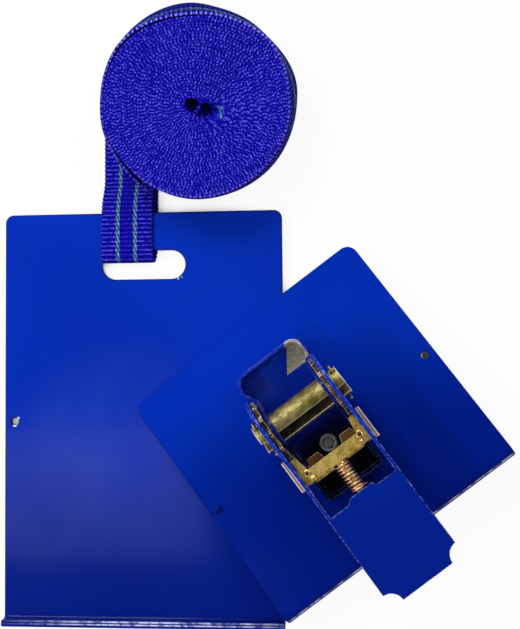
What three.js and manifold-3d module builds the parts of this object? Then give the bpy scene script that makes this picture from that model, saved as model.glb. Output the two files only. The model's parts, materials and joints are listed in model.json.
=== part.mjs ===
import * as THREE from 'three';
import { mergeVertices } from 'three/addons/utils/BufferGeometryUtils.js';
import Module from 'manifold-3d';

// Strap plate, in millimetres
const clearGap = 0.3;
const sheetThick = 3;
const plateWidth = 127;
const plateLength = 185;
const plateLip = 8;
const bendRadius = 1.2;
const plateCorner = 3.8;
const slotLength = 38;
const slotHeight = 13;
const slotShift = 0.6;
const slotInset = 23.8;
const hangHole = 1.65;
const hangInset = 4.6;
const plateHangY = 90.7;
const slotCentreY = plateLength - slotInset;

// Webbing: a loop through the slot, then a double flat run
const bandWidth = 25;
const bandThick = 1.1;
const leadCentreX = -5.1;
const foldOffset = 1;
const leadPast = 62;
const leadFloor = 0.15;
const stepOffset = 3;
const stepRun = 12;
const threadSize = 0.45;
const threadHole = 0.6;
const stitchHalf = 9;
const stitchPitch = 3;
const stitchInset = 22;
const stitchRows = 6;
const leadFold = slotCentreY + foldOffset;
const leadEnd = plateLength + leadPast;
const stitchY = leadEnd - stitchInset;

// The strap plate's far edge is lifted by the webbing that passes under it
const liftShare = (leadFloor + bandThick + clearGap * 1.4) / (slotCentreY + slotHeight / 2);
const plateTilt = Math.asin(liftShare);
const frontRise = sheetThick + plateLength * liftShare + clearGap * 1.2 + bandThick / 2;

// Rolled webbing
const coilLoops = 21.5;
const coilSteps = 24;
const coilOuter = 39.4;
const coilHole = 5;
const coilFlare = 5.4;
const coilPast = 7.6;
const coilFootX = 25.6;
const coilLeanX = 2.7;
const coilLeanY = -11.5;
const coilLift = 0.35;
const flareStartShare = 0.78;
const coilBottom = new THREE.Vector2(coilFootX, plateLength + coilOuter + coilFlare + coilPast);
const coilTop = new THREE.Vector2(coilFootX + coilLeanX, coilBottom.y + coilLeanY);
const coilRight = coilFootX + coilOuter + coilFlare + clearGap * 2;

// Ratchet plate
const ratchetWidth = 120.4;
const ratchetLength = 115.4;
const ratchetLip = 19;
const ratchetCorner = 5;
const ratchetHangY = 56;
const ratchetPlaceX = 65.5;
const ratchetPlaceY = 5.3;
const ratchetYaw = THREE.MathUtils.degToRad(36.7);
const boltHole = 2.25;

// Wheels and spool, measured from the spool axis
const wheelRadius = 15;
const toothHeight = 2.8;
const wheelThick = 1.5;
const wheelTeeth = 12;
const toothShares = [[0, 0], [0.12, 1], [0.34, 1], [0.8, 0]];
const spoolRadius = 6.6;
const spoolSlot = 5;
const spoolTurn = -47;
const pinRadius = 1;
const pinReach = spoolRadius + pinRadius * 0.8;

// Ratchet frame
const bandPlay = 0.2;
const frameInner = bandWidth / 2 + bandPlay;
const frameThick = 1.4;
const noseWidth = 17.2;
const noseRadius = 6;
const noseFront = 28;
const noseTop = -5;
const flareBack = 14.5;
const flareFront = 19;
const frameRear = -37.5;
const bossWall = 2.4;
const frameBoss = spoolRadius + bossWall;
const sideTop = -3.2;
const sideRear = -9;
const lockHeight = -7.2;
const postFace = frameRear + frameThick * 1.5;

// Handle
const handleInner = frameInner + frameThick + wheelThick + clearGap * 2;
const handleThick = 1.5;
const handleOuter = handleInner + handleThick;
const headCover = 1.4;
const handleHead = wheelRadius + headCover;
const headFrom = THREE.MathUtils.degToRad(-118);
const headTo = THREE.MathUtils.degToRad(106);
const handleTop = 9.5;
const webFront = -42.4;
const webTab = webFront + handleThick * 1.2;
const tabHalf = 5.6;
const webEnd = -84;
const notchRadius = 5.6;
const sideEnd = webEnd + notchRadius * 1.25;
const axisY = 67.7;
const axisHeight = handleHead + clearGap * 2;
const pinPlace = handleOuter + pinRadius * 2;
const spoolReach = pinPlace + pinRadius * 1.9;

// Pawls and springs
const pawlThick = 2;
const tipGap = 0.6;
const driveHeight = 6.5;
const barFront = -21.4;
const barRear = -26.6;
const earInner = handleOuter + clearGap;
const earThick = 1.6;
const earOuter = earInner + earThick;
const earFront = -13.2;
const earPast = 1;
const earRear = barRear - earPast;
const earLow = -1.5;
const stemHalf = 1.4;
const driveTravel = 4;
const lockTravel = 3;
const lockNeck = -20;
const lockRear = -26.8;
const lockFront = -21.6;
const lockTab = -17.4;
const driveSpringRadius = 2.9;
const driveWire = 0.45;
const driveCurls = 8;
const lockSpringRadius = 2.3;
const lockWire = 0.4;
const lockCurls = 6;
const springSteps = 8;
const lockTip = -Math.sqrt((wheelRadius + tipGap) ** 2 - (-lockHeight - pawlThick / 2) ** 2);
const driveTip = -Math.sqrt((wheelRadius + tipGap) ** 2 - (driveHeight - pawlThick / 2) ** 2);
const armInner = frameInner + frameThick + clearGap * 1.4;
const armOuter = handleInner - clearGap;
const lockStem = postFace - frameThick - lockTravel * 0.9;
const driveStem = webTab - handleThick * 2.6;

// Screw, washer and nut
const boltY = -17;
const boltRadius = 1.95;
const headRadius = 3.8;
const headHigh = 2.4;
const nutAcross = 7;
const nutHigh = 3;
const washerRadius = 4;
const washerThick = 0.8;
const domeShares = [[0, 1], [0.6, 0.92], [0.9, 0.55], [1, 0]];

// Heights over the ratchet plate, from the spool axis
const plateTopZ = -axisHeight;
const floorLow = plateTopZ + clearGap;
const floorTop = floorLow + frameThick;
const washerLow = floorTop + clearGap;
const nutLow = washerLow + washerThick + clearGap;
const nutTopZ = nutLow + nutHigh;

// Steps on round shapes
const roundSteps = 24;
const boreSteps = 32;
const holeSteps = 16;
const pinSteps = 12;
const bendSteps = 5;
const turnSteps = 12;
const headSteps = 22;
const curlSteps = 10;
const nutSides = 6;
const ringSides = 6;
const threadSteps = 8;
const wireSides = 5;
const weldGap = 0.0001;

const wasm = await Module();
wasm.setup();

function toSolid(geometry) {
  let bare = geometry.index ? geometry.toNonIndexed() : geometry.clone();
  for (const name of Object.keys(bare.attributes)) if (name !== 'position') bare.deleteAttribute(name);
  bare = mergeVertices(bare, weldGap);
  const mesh = new wasm.Mesh({
    numProp: 3,
    vertProperties: new Float32Array(bare.attributes.position.array),
    triVerts: new Uint32Array(bare.index.array),
  });
  return new wasm.Manifold(mesh);
}

function toGeometry(solid) {
  const mesh = solid.getMesh();
  const count = mesh.numProp;
  const points = new Float32Array((mesh.vertProperties.length / count) * 3);
  for (let i = 0, j = 0; i < mesh.vertProperties.length; i += count, j += 3) {
    points[j] = mesh.vertProperties[i];
    points[j + 1] = mesh.vertProperties[i + 1];
    points[j + 2] = mesh.vertProperties[i + 2];
  }
  const indexed = new THREE.BufferGeometry();
  indexed.setAttribute('position', new THREE.BufferAttribute(points, 3));
  indexed.setIndex(new THREE.BufferAttribute(new Uint32Array(mesh.triVerts), 1));
  const flat = indexed.toNonIndexed();
  flat.computeVertexNormals();
  return flat;
}

function outline(points) {
  const shape = new THREE.Shape();
  points.forEach(([x, y], i) => (i ? shape.lineTo(x, y) : shape.moveTo(x, y)));
  shape.closePath();
  return shape;
}

// Prisms: flat shapes pulled up along Z, side shapes (y, z) pulled across along X
function upright(shape, low, high) {
  const geometry = new THREE.ExtrudeGeometry(shape, {
    depth: high - low, bevelEnabled: false, curveSegments: roundSteps / 2,
  });
  geometry.translate(0, 0, low);
  return toSolid(geometry);
}

function across(shape, left, right) {
  const geometry = new THREE.ExtrudeGeometry(shape, {
    depth: right - left, bevelEnabled: false, curveSegments: roundSteps / 2,
  });
  const turn = new THREE.Matrix4().makeBasis(
    new THREE.Vector3(0, 1, 0), new THREE.Vector3(0, 0, 1), new THREE.Vector3(1, 0, 0));
  geometry.applyMatrix4(turn);
  geometry.translate(left, 0, 0);
  return toSolid(geometry);
}

function box(x0, x1, y0, y1, z0, z1) {
  const geometry = new THREE.BoxGeometry(x1 - x0, y1 - y0, z1 - z0);
  geometry.translate((x0 + x1) / 2, (y0 + y1) / 2, (z0 + z1) / 2);
  return toSolid(geometry);
}

function post(x, y, radius, low, high, sides = roundSteps) {
  const geometry = new THREE.CylinderGeometry(radius, radius, high - low, sides);
  geometry.rotateX(Math.PI / 2);
  geometry.translate(x, y, (low + high) / 2);
  return toSolid(geometry);
}

function axle(radius, left, right, sides = roundSteps) {
  const geometry = new THREE.CylinderGeometry(radius, radius, right - left, sides);
  geometry.rotateZ(-Math.PI / 2);
  geometry.translate((left + right) / 2, 0, 0);
  return toSolid(geometry);
}

function mesh(name, geometry, colour, roughness, metalness) {
  const material = new THREE.MeshStandardMaterial({ color: colour, roughness, metalness });
  const piece = new THREE.Mesh(geometry, material);
  piece.name = name;
  return piece;
}

const blue = 0x0a2a9c;
const zinc = 0xc9b458;
const copper = 0xb4713c;
const steel = 0x9a9da2;
const cloth = 0x2a22a8;

// Sheet plate with one lip: side shape of the bent sheet, cut to the flat outline
function bentSide(length, lip, sign) {
  const arc = (radius, from, to) => {
    const points = [];
    const middle = sheetThick + bendRadius;
    for (let i = 0; i <= bendSteps; i += 1) {
      const a = from + ((to - from) * i) / bendSteps;
      points.push([middle - Math.cos(a) * radius, middle - Math.sin(a) * radius]);
    }
    return points;
  };
  const outer = arc(sheetThick + bendRadius, Math.PI / 2, 0);
  const inner = arc(bendRadius, 0, Math.PI / 2);
  const points = [[length, 0], ...outer, [0, lip], [sheetThick, lip], ...inner, [length, sheetThick]];
  return outline(sign > 0 ? points : points.map(([y, z]) => [y, -z]).reverse());
}

function plateOutline(width, length, corner) {
  const half = width / 2;
  const shape = new THREE.Shape();
  shape.moveTo(-half, -corner);
  shape.lineTo(half, -corner);
  shape.lineTo(half, length - corner);
  shape.absarc(half - corner, length - corner, corner, 0, Math.PI / 2, false);
  shape.lineTo(-half + corner, length);
  shape.absarc(-half + corner, length - corner, corner, Math.PI / 2, Math.PI, false);
  shape.closePath();
  return shape;
}

function stadium(x, y, length, height) {
  const half = (length - height) / 2;
  const shape = new THREE.Shape();
  shape.absarc(x + half, y, height / 2, -Math.PI / 2, Math.PI / 2, false);
  shape.absarc(x - half, y, height / 2, Math.PI / 2, (Math.PI * 3) / 2, false);
  shape.closePath();
  return shape;
}

function strapPlate() {
  let solid = across(bentSide(plateLength, plateLip, 1), -plateWidth / 2, plateWidth / 2);
  const flat = plateOutline(plateWidth, plateLength, plateCorner);
  solid = solid.intersect(upright(flat, -plateLip, plateLip * 2));
  const slot = stadium(slotShift, slotCentreY, slotLength, slotHeight);
  solid = solid.subtract(upright(slot, -sheetThick, sheetThick * 2));
  for (const side of [-1, 1]) {
    const x = side * (plateWidth / 2 - hangInset);
    solid = solid.subtract(post(x, plateHangY, hangHole, -sheetThick, sheetThick * 2, holeSteps));
  }
  return toGeometry(solid);
}

function ratchetPlate() {
  let solid = across(bentSide(ratchetLength, ratchetLip, -1), -ratchetWidth / 2, ratchetWidth / 2);
  const flat = plateOutline(ratchetWidth, ratchetLength, ratchetCorner);
  solid = solid.intersect(upright(flat, -ratchetLip * 2, ratchetLip));
  for (const side of [-1, 1]) {
    const x = side * (ratchetWidth / 2 - hangInset);
    solid = solid.subtract(post(x, ratchetHangY, hangHole, -sheetThick * 2, sheetThick, holeSteps));
  }
  solid = solid.subtract(post(0, axisY + boltY, boltHole, -sheetThick * 2, sheetThick, holeSteps));
  return toGeometry(solid);
}

// Webbing loop and flat run: centre line in (y, z), given its thickness, then pulled to its width
function leadLine() {
  const backZ = leadFloor + bandThick / 2;
  const turnRadius = (frontRise - backZ) / 2;
  const turnY = leadFold + bandThick / 2 + turnRadius;
  const turnZ = backZ + turnRadius;
  const points = [[leadEnd, backZ]];
  for (let i = 0; i <= turnSteps; i += 1) {
    const a = -Math.PI / 2 - (Math.PI * i) / turnSteps;
    points.push([turnY + Math.cos(a) * turnRadius, turnZ + Math.sin(a) * turnRadius]);
  }
  const lowZ = backZ + bandThick + clearGap * 1.1;
  for (let i = 0; i <= turnSteps; i += 1) {
    const t = i / turnSteps;
    const rise = THREE.MathUtils.lerp(frontRise, lowZ, THREE.MathUtils.smoothstep(t, 0, 1));
    points.push([plateLength + stepOffset + stepRun * t, rise]);
  }
  points.push([leadEnd, lowZ]);
  return { points, lowZ };
}

function ribbonShape(points, half) {
  const left = [];
  const right = [];
  points.forEach(([y, z], i) => {
    const before = points[Math.max(i - 1, 0)];
    const after = points[Math.min(i + 1, points.length - 1)];
    const along = new THREE.Vector2(after[0] - before[0], after[1] - before[1]).normalize();
    left.push([y - along.y * half, z + along.x * half]);
    right.push([y + along.y * half, z - along.x * half]);
  });
  return outline([...right, ...left.reverse()]);
}

const lead = leadLine();
const threadLow = lead.lowZ + bandThick / 2 + clearGap * 0.7;
const threadTop = threadLow + threadSize;
const coilSlope = (threadTop + clearGap * 1.2 - coilLift) / (coilRight - leadCentreX - stitchHalf);

function stitchPlaces() {
  const places = [];
  for (let i = 0; i < stitchRows; i += 1) {
    const ends = i % 2 ? [1, -1] : [-1, 1];
    for (const end of ends) places.push([leadCentreX + end * stitchHalf, stitchY + i * stitchPitch]);
  }
  return places;
}

function strapLead() {
  const left = leadCentreX - bandWidth / 2;
  let solid = across(ribbonShape(lead.points, bandThick / 2), left, left + bandWidth);
  for (const [x, y] of stitchPlaces()) {
    solid = solid.subtract(post(x, y, threadHole, -bandThick, bandThick * 4, threadSteps));
  }
  return toGeometry(solid);
}

// One thread: rows to and fro on the upper layer, a leg down through both layers at each row end
function loopStitching() {
  const half = threadSize / 2;
  const places = stitchPlaces();
  let solid = null;
  places.forEach(([x, y], i) => {
    const [nextX, nextY] = places[Math.min(i + 1, places.length - 1)];
    const leg = box(x - half, x + half, y - half, y + half, leadFloor * 2, threadTop);
    const run = box(Math.min(x, nextX) - half, Math.max(x, nextX) + half,
      Math.min(y, nextY) - half, Math.max(y, nextY) + half, threadLow, threadTop);
    const bar = leg.add(run);
    solid = solid ? solid.add(bar) : bar;
  });
  return toGeometry(solid);
}

// Rolled webbing: a spiral band on edge, its foot further back than its top, outer loops leaning out
function coilPoint(turn, height) {
  const share = turn / coilLoops;
  const pitch = (coilOuter - coilHole - bandThick) / coilLoops;
  const radius = coilHole + bandThick / 2 + pitch * turn;
  const angle = Math.PI - (coilLoops - turn) * Math.PI * 2;
  const down = 1 - height / bandWidth;
  const lean = Math.max(0, (share - flareStartShare) / (1 - flareStartShare));
  const reach = radius + coilFlare * lean * lean * down;
  const centre = new THREE.Vector2().lerpVectors(coilTop, coilBottom, down);
  const x = centre.x + Math.cos(angle) * reach;
  const y = centre.y + Math.sin(angle) * reach;
  return { x, y, angle, z: height + coilLift + (coilRight - x) * coilSlope };
}

function strapCoil() {
  const count = Math.round(coilLoops * coilSteps);
  const vertices = [];
  for (let i = 0; i <= count; i += 1) {
    const turn = (coilLoops * i) / count;
    for (const [side, height] of [[-1, 0], [1, 0], [1, bandWidth], [-1, bandWidth]]) {
      const p = coilPoint(turn, height);
      const half = (side * bandThick) / 2;
      vertices.push(p.x + Math.cos(p.angle) * half, p.y + Math.sin(p.angle) * half, p.z);
    }
  }
  const faces = [0, 1, 2, 0, 2, 3];
  for (let i = 0; i < count; i += 1) {
    for (let k = 0; k < 4; k += 1) {
      const a = i * 4 + k;
      const b = i * 4 + ((k + 1) % 4);
      faces.push(a, a + 4, b, b, a + 4, b + 4);
    }
  }
  const last = count * 4;
  faces.push(last, last + 2, last + 1, last, last + 3, last + 2);
  const geometry = new THREE.BufferGeometry();
  geometry.setAttribute('position', new THREE.Float32BufferAttribute(vertices, 3));
  geometry.setIndex(faces);
  const volume = signedVolume(geometry);
  if (volume < 0) {
    for (let i = 0; i < faces.length; i += 3) [faces[i + 1], faces[i + 2]] = [faces[i + 2], faces[i + 1]];
    geometry.setIndex(faces);
  }
  const flat = geometry.toNonIndexed();
  flat.computeVertexNormals();
  return flat;
}

function signedVolume(geometry) {
  const p = geometry.attributes.position;
  const index = geometry.index.array;
  const a = new THREE.Vector3();
  const b = new THREE.Vector3();
  const c = new THREE.Vector3();
  let sum = 0;
  for (let i = 0; i < index.length; i += 3) {
    a.fromBufferAttribute(p, index[i]);
    b.fromBufferAttribute(p, index[i + 1]);
    c.fromBufferAttribute(p, index[i + 2]);
    sum += a.dot(b.cross(c));
  }
  return sum / 6;
}

function coilSelfGap() {
  let least = Infinity;
  const count = Math.round(coilLoops * coilSteps);
  for (let i = 0; i + coilSteps <= count; i += 1) {
    for (const height of [0, bandWidth]) {
      const inner = coilPoint((coilLoops * i) / count, height);
      const outer = coilPoint((coilLoops * (i + coilSteps)) / count, height);
      const apart = Math.hypot(outer.x - inner.x, outer.y - inner.y);
      least = Math.min(least, apart * Math.cos(Math.PI / coilSteps) - bandThick);
    }
  }
  return least;
}
console.log('least gap between loops of the roll, mm:', coilSelfGap().toFixed(3));

// Frame: walls from the plan, cut to the side silhouette, joined to the floor
function framePlan(inset) {
  const side = frameInner + frameThick - inset;
  const nose = noseWidth - inset;
  const radius = noseRadius - inset;
  const front = noseFront - inset;
  const shape = new THREE.Shape();
  shape.moveTo(side, frameRear);
  shape.lineTo(side, flareBack + inset * 0.4);
  shape.lineTo(nose, flareFront + inset * 0.4);
  shape.lineTo(nose, front - radius);
  shape.absarc(nose - radius, front - radius, radius, 0, Math.PI / 2, false);
  shape.absarc(-nose + radius, front - radius, radius, Math.PI / 2, Math.PI, false);
  shape.lineTo(-nose, flareFront + inset * 0.4);
  shape.lineTo(-side, flareBack + inset * 0.4);
  shape.lineTo(-side, frameRear);
  shape.closePath();
  return shape;
}

function frameSide() {
  const points = [[frameRear, floorLow - frameThick], [frameRear, sideRear],
    [frameRear + frameBoss * 0.4, sideTop], [-frameBoss - frameThick, sideTop]];
  for (let i = 0; i <= turnSteps; i += 1) {
    const a = Math.PI - (Math.PI * i) / turnSteps;
    points.push([Math.cos(a) * frameBoss, Math.max(Math.sin(a) * frameBoss, 0)]);
  }
  points.push([flareBack, noseTop], [noseFront * 2, noseTop], [noseFront * 2, floorLow - frameThick]);
  return outline(points.reverse());
}

function baseFrame() {
  const floorShape = framePlan(0);
  let walls = upright(floorShape, floorLow, frameBoss * 2);
  const hollow = framePlan(frameThick);
  const hollowSolid = upright(hollow, floorLow - frameThick, frameBoss * 3);
  const rearCut = box(-frameInner, frameInner, frameRear - frameThick, frameRear + frameThick,
    floorLow - frameThick, frameBoss * 3);
  walls = walls.subtract(hollowSolid).subtract(rearCut);
  walls = walls.intersect(across(frameSide(), -noseWidth * 2, noseWidth * 2));
  let solid = walls.add(upright(floorShape, floorLow, floorTop));
  const postHalf = frameInner + frameThick / 2;
  const postTop = sideTop - frameThick / 2;
  solid = solid.add(box(-postHalf, postHalf, postFace - frameThick, postFace, floorLow, postTop));
  solid = solid.subtract(axle(spoolRadius + clearGap, -noseWidth * 2, noseWidth * 2, boreSteps));
  const half = pawlThick / 2 + clearGap;
  solid = solid.subtract(box(-noseWidth, noseWidth, lockRear - lockTravel - clearGap, lockNeck + clearGap,
    lockHeight - half, lockHeight + half));
  solid = solid.subtract(box(-stemHalf - clearGap, stemHalf + clearGap, postFace - frameThick * 2,
    postFace + frameThick, lockHeight - half, lockHeight + half));
  solid = solid.subtract(post(0, boltY, boltHole, floorLow - frameThick, floorTop + frameThick, holeSteps));
  return toGeometry(solid);
}

// Lock pawl: plate across the frame, arms outside it at the wheels, stem to the rear post
function mirrored(half) {
  const other = half.map(([x, y]) => [-x, y]).reverse();
  return outline([...half, ...other]);
}

function lockPawl() {
  const half = [[tabHalf * 0.8, lockFront], [tabHalf, lockTab], [tabHalf * 2, lockTab],
    [tabHalf * 2.15, lockNeck], [armInner, lockNeck], [armInner, lockTip], [armOuter, lockTip],
    [armOuter, lockRear], [stemHalf, lockRear], [stemHalf, lockStem]];
  const shape = mirrored(half.slice().reverse());
  return toGeometry(upright(shape, lockHeight - pawlThick / 2, lockHeight + pawlThick / 2));
}

// Drive pawl: bar with arms, necks through the handle sides, upright ears outside, stem through the seat
function drivePawl() {
  const low = driveHeight - pawlThick / 2;
  const high = driveHeight + pawlThick / 2;
  const half = [[frameInner - frameThick * 0.3, barFront], [frameInner + frameThick * 0.6, driveTip],
    [armOuter, driveTip], [armOuter, barFront + frameThick], [earInner + clearGap, barFront + frameThick],
    [earInner + clearGap, barRear], [stemHalf, barRear], [stemHalf, driveStem]];
  let solid = upright(mirrored(half.slice().reverse()), low, high);
  for (const side of [-1, 1]) {
    const near = Math.min(side * earInner, side * earOuter);
    const far = Math.max(side * earInner, side * earOuter);
    solid = solid.add(box(near, far, earRear, earFront, earLow, high + clearGap));
    const curl = axle(pawlThick * 0.62, near, far, curlSteps);
    const inward = -side * (earInner - frameInner + frameThick);
    solid = solid.add(curl.translate([inward, barRear + frameThick, high]));
  }
  return toGeometry(solid);
}

function handleSide() {
  const points = [];
  for (let i = 0; i <= headSteps; i += 1) {
    const a = headFrom + ((headTo - headFrom) * i) / headSteps;
    points.push([Math.cos(a) * handleHead, Math.sin(a) * handleHead]);
  }
  points.push([barRear, handleTop], [sideEnd, handleTop], [sideEnd, handleTop * 0.3],
    [sideEnd + handleHead / 2, -handleThick], [barRear + clearGap, -handleThick * 2.4]);
  return outline(points);
}

function webShape() {
  const half = handleOuter;
  const shape = new THREE.Shape();
  shape.moveTo(half, webFront);
  shape.lineTo(tabHalf + handleThick, webFront);
  shape.lineTo(tabHalf, webTab);
  shape.lineTo(-tabHalf, webTab);
  shape.lineTo(-tabHalf - handleThick, webFront);
  shape.lineTo(-half, webFront);
  shape.lineTo(-half, webEnd + notchRadius);
  shape.absarc(-half, webEnd, notchRadius, Math.PI / 2, 0, true);
  shape.lineTo(half - notchRadius, webEnd);
  shape.absarc(half, webEnd, notchRadius, Math.PI, Math.PI / 2, true);
  shape.closePath();
  return shape;
}

function handle() {
  const outer = handleOuter;
  let solid = across(handleSide(), -outer, -handleInner).add(across(handleSide(), handleInner, outer));
  solid = solid.add(upright(webShape(), handleTop - handleThick, handleTop));
  solid = solid.add(box(-tabHalf, tabHalf, webTab - handleThick, webTab, 0, handleTop));
  solid = solid.subtract(axle(spoolRadius + clearGap, -outer * 2, outer * 2, boreSteps));
  const half = pawlThick / 2 + clearGap;
  solid = solid.subtract(box(-outer * 2, outer * 2, barRear - driveTravel - clearGap,
    barFront + frameThick + clearGap, driveHeight - half, driveHeight + half));
  solid = solid.subtract(box(-stemHalf - clearGap, stemHalf + clearGap, webTab - handleThick * 2,
    webTab + handleThick, driveHeight - half, driveHeight + half));
  return toGeometry(solid);
}

// Spool halves, wheels keyed on them, and the pins through their ends
function halfRound(radius, cut, length) {
  const shape = new THREE.Shape();
  const edge = Math.asin(cut / radius);
  shape.absarc(0, 0, radius, edge, Math.PI - edge, false);
  shape.closePath();
  return across(shape, -length, length);
}

function spoolHalf(side) {
  let solid = halfRound(spoolRadius, spoolSlot / 2, spoolReach);
  for (const end of [-1, 1]) {
    solid = solid.subtract(post(end * pinPlace, 0, pinRadius + clearGap, 0, spoolRadius * 2, pinSteps));
  }
  return toGeometry(solid.rotate([spoolTurn + (side > 0 ? 0 : 180), 0, 0]));
}

function wheelShape() {
  const points = [];
  const teeth = Math.round(wheelTeeth);
  for (let i = 0; i < teeth; i += 1) {
    for (const [turn, share] of toothShares) {
      const a = ((i + turn) / teeth) * Math.PI * 2;
      const radius = wheelRadius - toothHeight * (1 - share);
      points.push([Math.cos(a) * radius, Math.sin(a) * radius]);
    }
  }
  return outline(points);
}

function ratchetWheel(side) {
  const inner = frameInner + frameThick + clearGap;
  const low = side > 0 ? inner : -inner - wheelThick;
  let solid = across(wheelShape(), low, low + wheelThick);
  for (const turn of [0, 180]) {
    const key = halfRound(spoolRadius + clearGap, spoolSlot / 2 - clearGap, spoolReach);
    solid = solid.subtract(key.rotate([spoolTurn + turn, 0, 0]));
  }
  return toGeometry(solid);
}

function cotterPin(side) {
  const ring = new THREE.TorusGeometry(pinRadius * 1.2, pinRadius / 2, ringSides, pinSteps);
  ring.rotateX(Math.PI / 2);
  ring.translate(0, 0, pinReach + pinRadius * 0.6);
  const solid = post(0, 0, pinRadius, -pinReach, pinReach, pinSteps).add(toSolid(ring));
  return toGeometry(solid.rotate([spoolTurn, 0, 0]).translate([side * pinPlace, 0, 0]));
}

// Springs: unbroken wire, straight for one wire thickness at each end
class CurlPath extends THREE.Curve {
  constructor(radius, wire, curls, from, to, height) {
    super();
    Object.assign(this, { radius, wire, curls, from, to, height });
  }

  getPoint(t, target = new THREE.Vector3()) {
    const tail = this.wire * 2;
    const turns = this.curls * Math.PI * 2;
    const arc = turns * this.radius;
    const total = arc + tail * 2;
    const s = t * total;
    const run = THREE.MathUtils.clamp((s - tail) / arc, 0, 1);
    const a = run * turns;
    const along = this.from + (this.to - this.from) * run;
    const over = s < tail ? s - tail : Math.max(0, s - tail - arc);
    return target.set(
      Math.cos(a) * this.radius - Math.sin(a) * over,
      along,
      this.height + Math.sin(a) * this.radius + Math.cos(a) * over);
  }
}

function springGeometry(radius, wire, curls, from, to, height) {
  const path = new CurlPath(radius, wire, curls, from, to, height);
  const steps = Math.round(curls * springSteps) + wireSides - 1;
  const shape = new THREE.Shape();
  for (let i = 0; i < wireSides; i += 1) {
    const a = (i / wireSides) * Math.PI * 2;
    const point = [Math.cos(a) * wire, Math.sin(a) * wire];
    if (i) shape.lineTo(...point);
    else shape.moveTo(...point);
  }
  shape.closePath();
  const geometry = new THREE.ExtrudeGeometry(shape, { steps, bevelEnabled: false, extrudePath: path });
  const flat = geometry.index ? geometry.toNonIndexed() : geometry;
  for (const name of ['uv', 'normal']) flat.deleteAttribute(name);
  flat.computeVertexNormals();
  return flat;
}

function baseBolt() {
  const under = plateTopZ - sheetThick - clearGap;
  const profile = domeShares.map(([out, down]) =>
    new THREE.Vector2(headRadius * out, under - headHigh * down));
  const dome = new THREE.LatheGeometry([...profile, new THREE.Vector2(0, under)], roundSteps);
  dome.rotateX(Math.PI / 2);
  const shank = post(0, boltY, boltRadius, under - headHigh / 2, nutTopZ + washerThick, holeSteps);
  const solid = shank.add(toSolid(dome).translate([0, boltY, 0]));
  const key = post(0, boltY, headRadius * 0.45, under - headHigh * 2, under - headHigh / 2, nutSides);
  return toGeometry(solid.subtract(key));
}

function baseNut() {
  const corner = nutAcross / Math.sqrt(3);
  let solid = post(0, boltY, corner, nutLow, nutTopZ, nutSides);
  const cone = new THREE.LatheGeometry([
    new THREE.Vector2(0, nutLow), new THREE.Vector2(corner, nutLow),
    new THREE.Vector2(corner, nutTopZ - nutHigh * 0.2), new THREE.Vector2(nutAcross * 0.46, nutTopZ),
    new THREE.Vector2(0, nutTopZ)], roundSteps);
  cone.rotateX(Math.PI / 2);
  solid = solid.intersect(toSolid(cone).translate([0, boltY, 0]));
  return toGeometry(solid.subtract(post(0, boltY, boltHole, nutLow - nutHigh, nutTopZ + nutHigh, holeSteps)));
}

function baseWasher() {
  const ring = post(0, boltY, washerRadius, washerLow, washerLow + washerThick, roundSteps);
  const hole = post(0, boltY, boltHole, washerLow - washerThick, washerLow + washerThick * 2, holeSteps);
  return toGeometry(ring.subtract(hole));
}

// Assembly
const object = new THREE.Group();
object.name = 'ratchet_band_clamp';

const strapSide = new THREE.Group();
strapSide.rotation.x = plateTilt;
strapSide.add(mesh('strap_plate', strapPlate(), blue, 0.35, 0.1));

const webbing = new THREE.Group();
webbing.add(mesh('strap_lead', strapLead(), cloth, 0.85, 0));
webbing.add(mesh('strap_coil', strapCoil(), cloth, 0.85, 0));
webbing.add(mesh('loop_stitching', loopStitching(), cloth, 0.85, 0));

// The far edge of the ratchet plate rests on the strap plate where it crosses its right-hand edge
const farX = ratchetPlaceX - Math.sin(ratchetYaw) * ratchetLength;
const farY = ratchetPlaceY + Math.cos(ratchetYaw) * ratchetLength;
const crossY = farY + (plateWidth / 2 - farX) * Math.tan(ratchetYaw);
const restHeight = sheetThick + Math.tan(plateTilt) * crossY + clearGap;
const lean = Math.asin((ratchetLip - sheetThick - restHeight - clearGap * 0.3) / ratchetLength);
const ratchetSide = new THREE.Group();
ratchetSide.rotation.set(-lean, 0, ratchetYaw, 'ZXY');
ratchetSide.position.set(
  ratchetPlaceX + (Math.cos(ratchetYaw) * ratchetWidth) / 2,
  ratchetPlaceY + (Math.sin(ratchetYaw) * ratchetWidth) / 2,
  ratchetLip * Math.cos(lean));
ratchetSide.add(mesh('ratchet_plate', ratchetPlate(), blue, 0.35, 0.1));

const buckle = new THREE.Group();
buckle.position.set(0, axisY, axisHeight);
buckle.add(mesh('base_frame', baseFrame(), blue, 0.3, 0.1));
buckle.add(mesh('base_bolt', baseBolt(), steel, 0.35, 1));
buckle.add(mesh('base_washer', baseWasher(), steel, 0.35, 1));
buckle.add(mesh('base_nut', baseNut(), steel, 0.35, 1));
buckle.add(mesh('lock_pawl', lockPawl(), zinc, 0.35, 0.9));
buckle.add(mesh('lock_pawl_spring',
  springGeometry(lockSpringRadius, lockWire, lockCurls, lockRear - lockWire - clearGap,
    postFace + lockWire + clearGap, lockHeight), copper, 0.35, 0.9));
buckle.add(mesh('spool_half_a', spoolHalf(1), zinc, 0.3, 0.9));
buckle.add(mesh('spool_half_b', spoolHalf(-1), zinc, 0.3, 0.9));
buckle.add(mesh('ratchet_wheel_left', ratchetWheel(-1), zinc, 0.35, 0.9));
buckle.add(mesh('ratchet_wheel_right', ratchetWheel(1), zinc, 0.35, 0.9));
buckle.add(mesh('cotter_pin_left', cotterPin(-1), zinc, 0.35, 0.9));
buckle.add(mesh('cotter_pin_right', cotterPin(1), zinc, 0.35, 0.9));
buckle.add(mesh('handle', handle(), blue, 0.3, 0.1));
buckle.add(mesh('drive_pawl', drivePawl(), zinc, 0.3, 0.9));
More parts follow.
